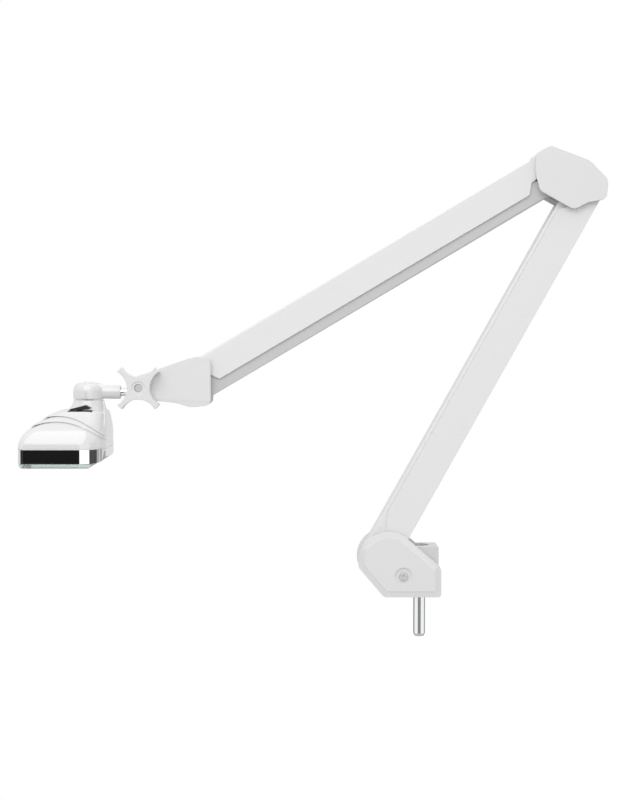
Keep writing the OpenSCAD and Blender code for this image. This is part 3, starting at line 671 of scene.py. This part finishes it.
class OBJECT_OT_light_springs(bpy.types.Operator):
    """Winds the tension springs inside the arms"""

    bl_idname = "dental_light.springs"
    bl_label = "Springs"

    def straight_wire(self, length, middle):
        """The hook wire at one end of a spring, along X about its middle."""
        nothing_selected()
        bpy.ops.mesh.primitive_cylinder_add(
            vertices=12, radius=WIRE_R, depth=length, location=(middle, 0, 0),
            rotation=(0, math.radians(90), 0),
        )
        return bpy.context.object

    def wound(self, name, side, root, tip, offset):
        """One spring: a hook at each end and a close-wound body between them."""
        line = tip - root
        length = line.length
        start, stop = 44 * MM, 26 * MM
        turns = int((length - start - stop) / COIL_PITCH)
        turn_steps = 20
        nothing_selected()
        bpy.ops.mesh.primitive_circle_add(
            vertices=8, radius=WIRE_R, location=(start, 0, COIL_R), rotation=(math.radians(90), 0, 0)
        )
        coil = bpy.context.object
        settle(coil)
        apply_modifier(
            coil, "SCREW", axis="X", screw_offset=COIL_PITCH, iterations=turns, steps=turn_steps,
            render_steps=turn_steps, use_merge_vertices=False,
        )
        wires = [
            self.straight_wire(start, start / 2), self.straight_wire(stop, length - stop / 2),
        ]
        for wire in wires:
            settle(wire)
            round_edges(wire, 0.3 * MM, 2, 50)
        spring = joined([coil, *wires], name)
        tilt = math.atan2(line.z, line.x)
        spring.matrix_world = (
            Matrix.Translation(root + Vector((0, side * offset, 0))) @ Matrix.Rotation(-tilt, 4, "Y")
        )
        settle(spring)
        return spring

    def execute(self, context):
        for node, first, last in (
            ("lower_springs", JOINTS["lower_link_tilt"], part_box("lower_spring_rod")),
            ("forearm_springs", JOINTS["forearm_link_tilt"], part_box("forearm_spring_rod")),
        ):
            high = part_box(node)[1]
            offset = high.y - COIL_R - WIRE_R
            rod = (last[0] + last[1]) / 2
            pair = [
                self.wound("spring", side, Vector((first.x, 0, first.z)), rod, offset) for side in (-1, 1)
            ]
            both = joined(pair, "coils_" + node)
            outward(both)
            smooth(both, 60)
            finish_piece(both, "coils_" + node, [node])
        return {"FINISHED"}


class OBJECT_OT_light_covers(bpy.types.Operator):
    """Moulds the covers of the elbow and the wrist, with their shrouds"""

    bl_idname = "dental_light.covers"
    bl_label = "Elbow and wrist covers"

    def execute(self, context):
        sizes = context.scene.light_sizes
        for joint in ("elbow", "wrist"):
            for side in ("front", "back"):
                node = f"{joint}_cover_{side}"
                cover = copied(node, node)
                top, foot = levels_of(cover)[:2]
                sloped_plateau(cover, foot, top)
                round_edges(cover, sizes.edge_round * 0.6, 3, 38)
                smooth(cover, 30)
                finish_piece(cover, f"{joint}_shell_{side}", [node])
            softened(joint + "_shroud", 0.3 * MM)
            softened(joint + "_plates", 0.3 * MM)
            softened(joint + "_screws", 0.3 * MM, 3)
        softened("wrist_nut", 0.4 * MM)
        softened("wrist_clevis", 0.4 * MM)
        return {"FINISHED"}


class OBJECT_OT_light_knob(bpy.types.Operator):
    """Moulds the star knob with its sunk middle, and the bolt through it"""

    bl_idname = "dental_light.knob"
    bl_label = "Clamp knob"

    def execute(self, context):
        knob = copied("star_knob", "clamp_knob")
        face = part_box("star_knob")[0].y
        bolt_low, bolt_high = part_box("knob_bolt")
        bolt_r = (bolt_high.z - bolt_low.z) / 2
        depth = 1.0 * MM
        dish = tapered_disc(bolt_r + 2.0 * MM, -depth, bolt_r + 3.0 * MM, depth)
        only(dish)
        bpy.ops.transform.rotate(value=math.radians(90), orient_axis="X", center_override=(0, 0, 0))
        dish.location = (KNOB.x, face, KNOB.z)
        settle(dish)
        outward(dish)
        combined(knob, dish, "DIFFERENCE")
        round_edges(knob, context.scene.light_sizes.knob_round * 0.7, 4, 50)
        smooth(knob, 40)
        finish_piece(knob, "clamp_knob", ["star_knob"])
        softened("knob_bolt", 0.6 * MM, 3)
        softened("stem_eye", 0.5 * MM, 3)
        softened("stem_rod", 0.5 * MM, 3)
        return {"FINISHED"}


# ---------- head ----------


def rounded_ring(x0, x1, half_y, r_nose, r_heel, z, steps=9):
    """Points of one level of the head: small corners at the nose, large ones at the heel."""
    points = []
    for cx, cy, r, start in (
        (x1 - r_heel, half_y - r_heel, r_heel, 0), (x0 + r_nose, half_y - r_nose, r_nose, 90),
        (x0 + r_nose, -half_y + r_nose, r_nose, 180), (x1 - r_heel, -half_y + r_heel, r_heel, 270),
    ):
        for i in range(steps + 1):
            a = math.radians(start + 90 * i / steps)
            points.append(Vector((cx + r * math.cos(a), cy + r * math.sin(a), z)))
    return points


def lofted(name, levels):
    """A closed form through levels of equal point count: a circle extruded once for each level."""
    nothing_selected()
    count = len(levels[0])
    bpy.ops.mesh.primitive_circle_add(vertices=count, radius=1 * MM, fill_type="NGON")
    piece = bpy.context.object
    piece.name = name
    for v, spot in zip(piece.data.vertices, levels[0]):
        v.co = spot
    before = levels[0]
    for level in levels[1:]:
        cap = max(piece.data.polygons, key=lambda face: (len(face.vertices) == count, face.center.z))
        pick_faces(piece, lambda centre, normal, at=cap.center.copy(): (centre - at).length < 1e-7)
        bpy.ops.mesh.extrude_region_move(TRANSFORM_OT_translate={"value": (0, 0, 0)})
        leave_edit()
        for v in piece.data.vertices:
            if v.select:
                nearest = min(range(count), key=lambda i: (before[i] - v.co).length_squared)
                v.co = level[nearest]
        before = level
    outward(piece)
    return piece


def head_levels(grow=0.0):
    """Levels of the head's lower form, from the seam up to the shelf."""
    x0, x1 = SHELL_LOW.x, SHELL_HIGH.x
    seam, half_y = SHELL_LOW.z, SHELL_HIGH.y
    rows = (
        # rise over the seam, nose setback, heel setback, side setback, nose corner, heel corner
        (0.0, 0.0, 0.0, 0.0, 7.0, 24.0), (2.5, 0.0, 0.0, 0.0, 7.0, 24.0),
        (6.0, 0.5, 0.1, 0.5, 7.4, 24.0), (10.0, 1.7, 0.3, 1.5, 8.2, 24.0),
        (14.0, 4.0, 0.6, 3.2, 9.2, 23.0), (18.0, 7.6, 0.9, 5.6, 10.5, 22.0),
        (22.0, 12.6, 1.3, 8.6, 12.0, 21.0), (26.0, 19.2, 1.8, 11.8, 13.5, 20.0),
        (29.5, 25.8, 2.3, 14.6, 14.0, 19.0), (32.5, 31.8, 2.9, 17.0, 14.0, 18.0),
        (34.4, 36.0, 3.7, 19.0, 13.5, 17.0), (35.3, 39.5, 5.0, 21.0, 13.0, 16.0),
        (35.6, 45.0, 9.0, 26.0, 11.0, 13.0),
    )
    levels = []
    for rise, nose, heel, side, nose_r, heel_r in rows:
        levels.append(rounded_ring(
            x0 + (nose - grow) * MM, x1 - (heel - min(0.4 * grow, heel)) * MM, half_y - (side - grow) * MM,
            (nose_r + grow) * MM, heel_r * MM, seam + (rise + grow * (rise > 20)) * MM,
        ))
    return levels


def above_arch(name, low_left, peak, low_right):
    """A block whose underside is an arch along the head, to cut a saddle with."""
    count = 24
    half_y = 60 * MM
    x0, x1 = SHELL_LOW.x - 5 * MM, SHELL_HIGH.x + 5 * MM
    crown = 2 * peak - (low_left + low_right) / 2
    points = []
    for i in range(count + 1):
        t = i / count
        z = (1 - t) ** 2 * low_left + 2 * t * (1 - t) * crown + t * t * low_right
        points.append(Vector((x0 + (x1 - x0) * t, -half_y, z)))
    points += [Vector((x, -half_y, SHELL_HIGH.z + 20 * MM)) for x in (x1, x0)]
    nothing_selected()
    bpy.ops.mesh.primitive_circle_add(vertices=len(points), radius=1 * MM, fill_type="NGON")
    block = bpy.context.object
    block.name = name
    for v, spot in zip(block.data.vertices, points):
        v.co = spot
    all_edit(block)
    bpy.ops.mesh.extrude_region_move(TRANSFORM_OT_translate={"value": (0, 2 * half_y, 0)})
    leave_edit()
    outward(block)
    return block


def combined(piece, block, operation):
    """Cuts the piece with the block, or keeps what is inside the block, and removes the block."""
    apply_modifier(piece, "BOOLEAN", operation=operation, object=block, solver="EXACT")
    bpy.data.objects.remove(block)


class OBJECT_OT_light_head(bpy.types.Operator):
    """Moulds the head: a sloping body, a saddle in two steps and a neck for the swivel"""

    bl_idname = "dental_light.head"
    bl_label = "Head shell"

    def neck(self):
        """The neck flows from the saddle up to the round seat of the swivel."""
        top = SHELL_HIGH.z
        cap_r = (CAP_HIGH.y - CAP_LOW.y) / 2
        rows = (
            # drop under the seat, reach to the nose, reach to the heel, half width
            (20.0, 31.0, 18.6, 27.0), (14.0, 25.0, 18.2, 23.5), (10.0, 20.6, 17.6, 20.5),
            (6.5, 17.6, 16.8, 18.0), (3.4, 16.0, 16.0, 16.4), (1.4, 15.5, 15.5, 15.6),
            (0.4, 15.2, 15.2, 15.2), (0.0, 14.6, 14.6, 14.6),
        )
        count = 48
        levels = []
        for drop, nose, heel, side in rows:
            ring = []
            for i in range(count):
                a = 2 * math.pi * i / count
                reach = heel if math.cos(a) > 0 else nose
                ring.append(Vector((
                    NECK.x + reach * MM * math.cos(a), side * MM * math.sin(a), top - drop * MM,
                )))
            levels.append(ring)
        return lofted("neck", levels)

    def execute(self, context):
        step = context.scene.light_sizes.saddle_rise / MM
        seam = SHELL_LOW.z
        body = lofted("body", head_levels())
        round_edges(body, 0.4 * MM, 2, 60)
        parts = [body]
        for grow, left, peak, right in ((step, 13, 27, 5), (2 * step, 14, 32.5, 7)):
            saddle = lofted("saddle", head_levels(grow))
            arch = above_arch("arch", seam + left * MM, seam + peak * MM, seam + right * MM)
            combined(saddle, arch, "INTERSECT")
            outward(saddle)
            round_edges(saddle, 0.35 * MM, 2, 50)
            parts.append(saddle)
        parts.append(self.neck())
        shell = joined(parts, "head_moulding")
        smooth(shell, 40)
        finish_piece(shell, "head_moulding", ["head_shell"])
        return {"FINISHED"}


class OBJECT_OT_light_swivel(bpy.types.Operator):
    """Moulds the swivel elbow: a domed cap with a tube to the wrist, its plug and bush"""

    bl_idname = "dental_light.swivel"
    bl_label = "Swivel"

    def execute(self, context):
        softened("swivel_elbow", 0.5 * MM, 3, 40, 40, "swivel")
        softened("swivel_plug", 0.5 * MM, 3)
        softened("swivel_bush", 0.3 * MM)
        softened("head_spindle", 0.3 * MM)
        softened("spindle_nut", 0.3 * MM)
        return {"FINISHED"}


class OBJECT_OT_light_glass(bpy.types.Operator):
    """Rounds the trim band and the front glass"""

    bl_idname = "dental_light.glass"
    bl_label = "Trim band and glass"

    def execute(self, context):
        softened("trim_band", 0.35 * MM, 2, 50, 40, "band")
        softened("glass_plate", 0.8 * MM, 3, 40, 40, "front_glass")
        return {"FINISHED"}


class OBJECT_OT_light_sources(bpy.types.Operator):
    """Places the light sources with their lenses in the tray, and the cooling behind them"""

    bl_idname = "dental_light.sources"
    bl_label = "Light sources"

    def package(self, dome):
        """One light source: a bevelled square carrier with a domed lens under it."""
        nothing_selected()
        bpy.ops.mesh.primitive_cube_add(size=1, scale=(3.4 * MM, 3.4 * MM, 0.6 * MM))
        carrier = bpy.context.object
        settle(carrier)
        round_edges(carrier, 0.2 * MM, 1, 40)
        nothing_selected()
        lens_r = 1.3 * MM
        bpy.ops.mesh.primitive_uv_sphere_add(segments=12, ring_count=6, radius=lens_r)
        lens = bpy.context.object
        lens.scale = (1, 1, dome / lens_r)
        settle(lens)
        all_edit(lens)
        bpy.ops.mesh.bisect(plane_co=(0, 0, 0.05 * MM), plane_no=(0, 0, 1), clear_outer=True, use_fill=True)
        leave_edit()
        lens.location.z = -0.3 * MM
        settle(lens)
        smooth(lens, 50)
        return joined([carrier, lens], "source")

    def execute(self, context):
        model = self.package(context.scene.light_sizes.lens_dome)
        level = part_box("leds")[1].z - 0.35 * MM
        copies = []
        for spot in light_centres():
            one = bpy.data.objects.new("source", model.data.copy())
            one.location = (spot.x, spot.y, level)
            context.scene.collection.objects.link(one)
            copies.append(one)
        bpy.data.objects.remove(model)
        for one in copies:
            settle(one)
        finish_piece(joined(copies, "light_sources"), "light_sources", ["leds"])
        softened("reflector_tray", 0.3 * MM, 2, 40)
        softened("led_board", 0.15 * MM)
        softened("heat_sink", 0.2 * MM)
        softened("driver_board", 0.15 * MM)
        return {"FINISHED"}


def light_centres():
    """Centre of each light source, from the separate solids of its CAD node."""
    own_half, own_width = 2.6 * MM, 4 * MM
    corners = [v.co for v in frame["nodes"]["leds"].data.vertices]
    spots = []
    for co in corners:
        for spot in spots:
            if abs(spot[0] - co.x) < own_half and abs(spot[1] - co.y) < own_half:
                break
        else:
            near = [c for c in corners if abs(c.x - co.x) < own_width and abs(c.y - co.y) < own_width]
            spots.append((
                (min(c.x for c in near) + max(c.x for c in near)) / 2,
                (min(c.y for c in near) + max(c.y for c in near)) / 2,
            ))
    return [Vector((x, y, 0)) for x, y in spots]


class OBJECT_OT_light_switch(bpy.types.Operator):
    """Moulds the ribbed wedge rocker in its bezel"""

    bl_idname = "dental_light.switch"
    bl_label = "Switch"

    def execute(self, context):
        softened("switch_housing", 0.25 * MM, 2, 40)
        ribs = context.scene.light_sizes.switch_ribs
        rocker = copied("switch_rocker", "rocker")
        round_edges(rocker, 0.25 * MM, 2, 40)
        low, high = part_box("switch_rocker")
        parts = [rocker]
        crest = max((v.co.copy() for v in frame["nodes"]["switch_rocker"].data.vertices), key=lambda c: c.z)
        foot = Vector((low.x, 0, high.z - 4.6 * MM))
        for i in range(ribs):
            t = (i + 0.6) / ribs
            spot = foot.lerp(crest, t)
            bar = cube_at(
                Vector((spot.x - 0.45 * MM, low.y + 0.9 * MM, spot.z - 1.2 * MM)),
                Vector((spot.x + 0.45 * MM, high.y - 0.9 * MM, min(spot.z + 0.25 * MM, high.z))),
            )
            round_edges(bar, 0.2 * MM, 2, 40)
            parts.append(bar)
        whole = joined(parts, "rocker")
        smooth(whole, 40)
        finish_piece(whole, "rocker", ["switch_rocker"])
        return {"FINISHED"}


# ---------- stage ----------


def card(name, corner_a, corner_b, low, high, shade):
    """An upright card between two floor points, which only reflections see."""
    nothing_selected()
    bpy.ops.mesh.primitive_plane_add(size=1)
    sheet = bpy.context.object
    sheet.name = name
    a, b = Vector(corner_a), Vector(corner_b)
    corners = (
        Vector((a.x, a.y, low)), Vector((b.x, b.y, low)),
        Vector((a.x, a.y, high)), Vector((b.x, b.y, high)),
    )
    for v, spot in zip(sheet.data.vertices, corners):
        v.co = spot
    reflection_only(sheet, shade)


def reflection_only(sheet, shade):
    """Gives the card an even glow and hides it from every ray but glossy ones."""
    material, tree, shader = new_tree(sheet.name)
    shader.inputs["Base Color"].default_value = (0, 0, 0, 1)
    shader.inputs["Roughness"].default_value = 1.0
    shader.inputs["Emission Color"].default_value = (shade, shade, shade, 1)
    shader.inputs["Emission Strength"].default_value = 1.0
    sheet.data.materials.append(material)
    sheet.visible_camera = False
    sheet.visible_diffuse = False
    sheet.visible_shadow = False
    sheet.visible_transmission = False


def softbox(name, place, target, size, power):
    """A round area light that faces the target."""
    light = bpy.data.lights.new(name, "AREA")
    light.shape = "DISK"
    light.size = size
    light.energy = power
    lamp = bpy.data.objects.new(name, light)
    lamp.location = place
    lamp.rotation_euler = (target - place).to_track_quat("-Z", "Y").to_euler()
    bpy.context.scene.collection.objects.link(lamp)


def seen_as(nodes, links, lit, output, kind, strength):
    """Keeps the surroundings plain white to the camera, whatever light they give."""
    white, ray, mix = nodes.new(kind), nodes.new("ShaderNodeLightPath"), nodes.new("ShaderNodeMixShader")
    white.inputs["Color"].default_value = (1, 1, 1, 1)
    white.inputs["Strength"].default_value = strength
    links.new(ray.outputs["Is Camera Ray"], mix.inputs[0])
    links.new(lit, mix.inputs[1])
    links.new(white.outputs[0], mix.inputs[2])
    links.new(mix.outputs[0], nodes[output].inputs[0])


class OBJECT_OT_light_stage(bpy.types.Operator):
    """Lays the pale floor, hangs the lights and reflection cards, and sets the camera"""

    bl_idname = "dental_light.stage"
    bl_label = "Stage"

    def execute(self, context):
        scene = context.scene
        centre = Vector((-0.113, 0, 0.198))
        floor_z = cad_low.z - 0.42
        nothing_selected()
        bpy.ops.mesh.primitive_plane_add(size=8, location=(0, 0, floor_z))
        floor = bpy.context.object
        floor.name = "floor"
        settle(floor)
        material, tree, shader = new_tree("floor_white")
        pale, shaded = (0.52, 0.52, 0.52), (0.48, 0.48, 0.48)
        varied(tree, shader, pale, shaded, 0.2, 0.9, 0.05, 3.0, 0.02, 0.1 * MM)
        seen_as(tree.nodes, tree.links, shader.outputs[0], "Material Output", "ShaderNodeEmission", 1.0)
        floor.data.materials.append(material)

        world = bpy.data.worlds.new("studio")
        scene.world = world
        world.use_nodes = True
        nodes, links = world.node_tree.nodes, world.node_tree.links
        background = nodes["Background"]
        background.inputs["Color"].default_value = (1, 1, 1, 1)
        background.inputs["Strength"].default_value = 0.78
        seen_as(nodes, links, background.outputs[0], "World Output", "ShaderNodeBackground", 1.0)

        softbox("key", Vector((-0.5, -1.7, 1.6)), centre, 2.0, 17)
        softbox("top", Vector((0.1, 0.1, 1.9)), centre, 1.6, 2.5)
        softbox("rear", Vector((0.8, 1.5, 1.0)), centre, 1.4, 4)

        under, over, pin_top = cad_low.z - 0.40, 0.45, -0.09
        for card_row in (
            # name, one end, other end, bottom, top, brightness
            ("nose_dark", (-1.25, -0.30), (-0.82, -1.05), under, 0.10, 0.03),
            ("band_dark", (-0.82, -1.05), (-0.43, -1.05), under, over, 0.004),
            ("band_white", (-0.43, -1.05), (0.32, -0.80), under, over, 1.25),
            ("heel_grey", (0.32, -0.80), (0.65, -0.21), -0.02, over, 0.07),
            ("heel_side", (0.65, -0.21), (0.78, 0.50), -0.10, over, 0.42),
            ("pin_front", (-0.28, -0.60), (0.28, -0.60), under, pin_top, 0.26),
            ("shine_right", (0.33, -0.58), (0.61, 0.16), under, pin_top, 1.0),
            ("shine_left", (-0.33, -0.58), (-0.61, 0.16), under, pin_top, 1.0),
            ("pin_right", (0.56, 0.20), (0.10, 0.59), under, 0.0, 0.30),
            ("pin_left", (-0.56, 0.20), (-0.10, 0.59), under, 0.0, 0.30),
        ):
            card(*card_row)

        camera = bpy.data.cameras.new("camera")
        camera.sensor_width = 36
        camera.lens = 66.5
        view = bpy.data.objects.new("camera", camera)
        scene.collection.objects.link(view)
        rise, distance = math.radians(2.6), 1.5
        view.location = centre + Vector((0, -math.cos(rise), math.sin(rise))) * distance
        view.rotation_euler = (centre - view.location).to_track_quat("-Z", "Y").to_euler()
        scene.camera = view
        scene.view_settings.view_transform = "Standard"
        return {"FINISHED"}


class VIEW3D_PT_dental_light(bpy.types.Panel):
    """Lists the pieces of the dental light and their settings"""

    bl_label = "Dental light"
    bl_idname = "VIEW3D_PT_dental_light"
    bl_space_type = "VIEW_3D"
    bl_region_type = "UI"
    bl_category = "Dental light"

    def draw(self, context):
        for settings in (context.scene.light_sizes, context.scene.light_colours):
            box = self.layout.box()
            for name in settings.__annotations__:
                box.prop(settings, name)
        column = self.layout.column(align=True)
        for operator in PIECES:
            column.operator(operator.bl_idname)


PIECES = (
    OBJECT_OT_light_materials,
    OBJECT_OT_light_spigot,
    OBJECT_OT_light_base,
    OBJECT_OT_light_arms,
    OBJECT_OT_light_springs,
    OBJECT_OT_light_covers,
    OBJECT_OT_light_knob,
    OBJECT_OT_light_head,
    OBJECT_OT_light_swivel,
    OBJECT_OT_light_glass,
    OBJECT_OT_light_sources,
    OBJECT_OT_light_switch,
    OBJECT_OT_light_stage,
)
CLASSES = (LightSizes, LightColours, *PIECES, VIEW3D_PT_dental_light)


def register():
    for cls in CLASSES:
        bpy.utils.register_class(cls)
    bpy.types.Scene.light_sizes = bpy.props.PointerProperty(type=LightSizes)
    bpy.types.Scene.light_colours = bpy.props.PointerProperty(type=LightColours)


def unregister():
    del bpy.types.Scene.light_colours
    del bpy.types.Scene.light_sizes
    for cls in reversed(CLASSES):
        bpy.utils.unregister_class(cls)


def main():
    register()
    bpy.ops.dental_light.materials()
    bpy.ops.dental_light.spigot()
    bpy.ops.dental_light.base()
    bpy.ops.dental_light.arms()
    bpy.ops.dental_light.springs()
    bpy.ops.dental_light.covers()
    bpy.ops.dental_light.knob()
    bpy.ops.dental_light.head()
    bpy.ops.dental_light.swivel()
    bpy.ops.dental_light.glass()
    bpy.ops.dental_light.sources()
    bpy.ops.dental_light.switch()
    bpy.ops.dental_light.stage()


if __name__ == "__main__":
    main()
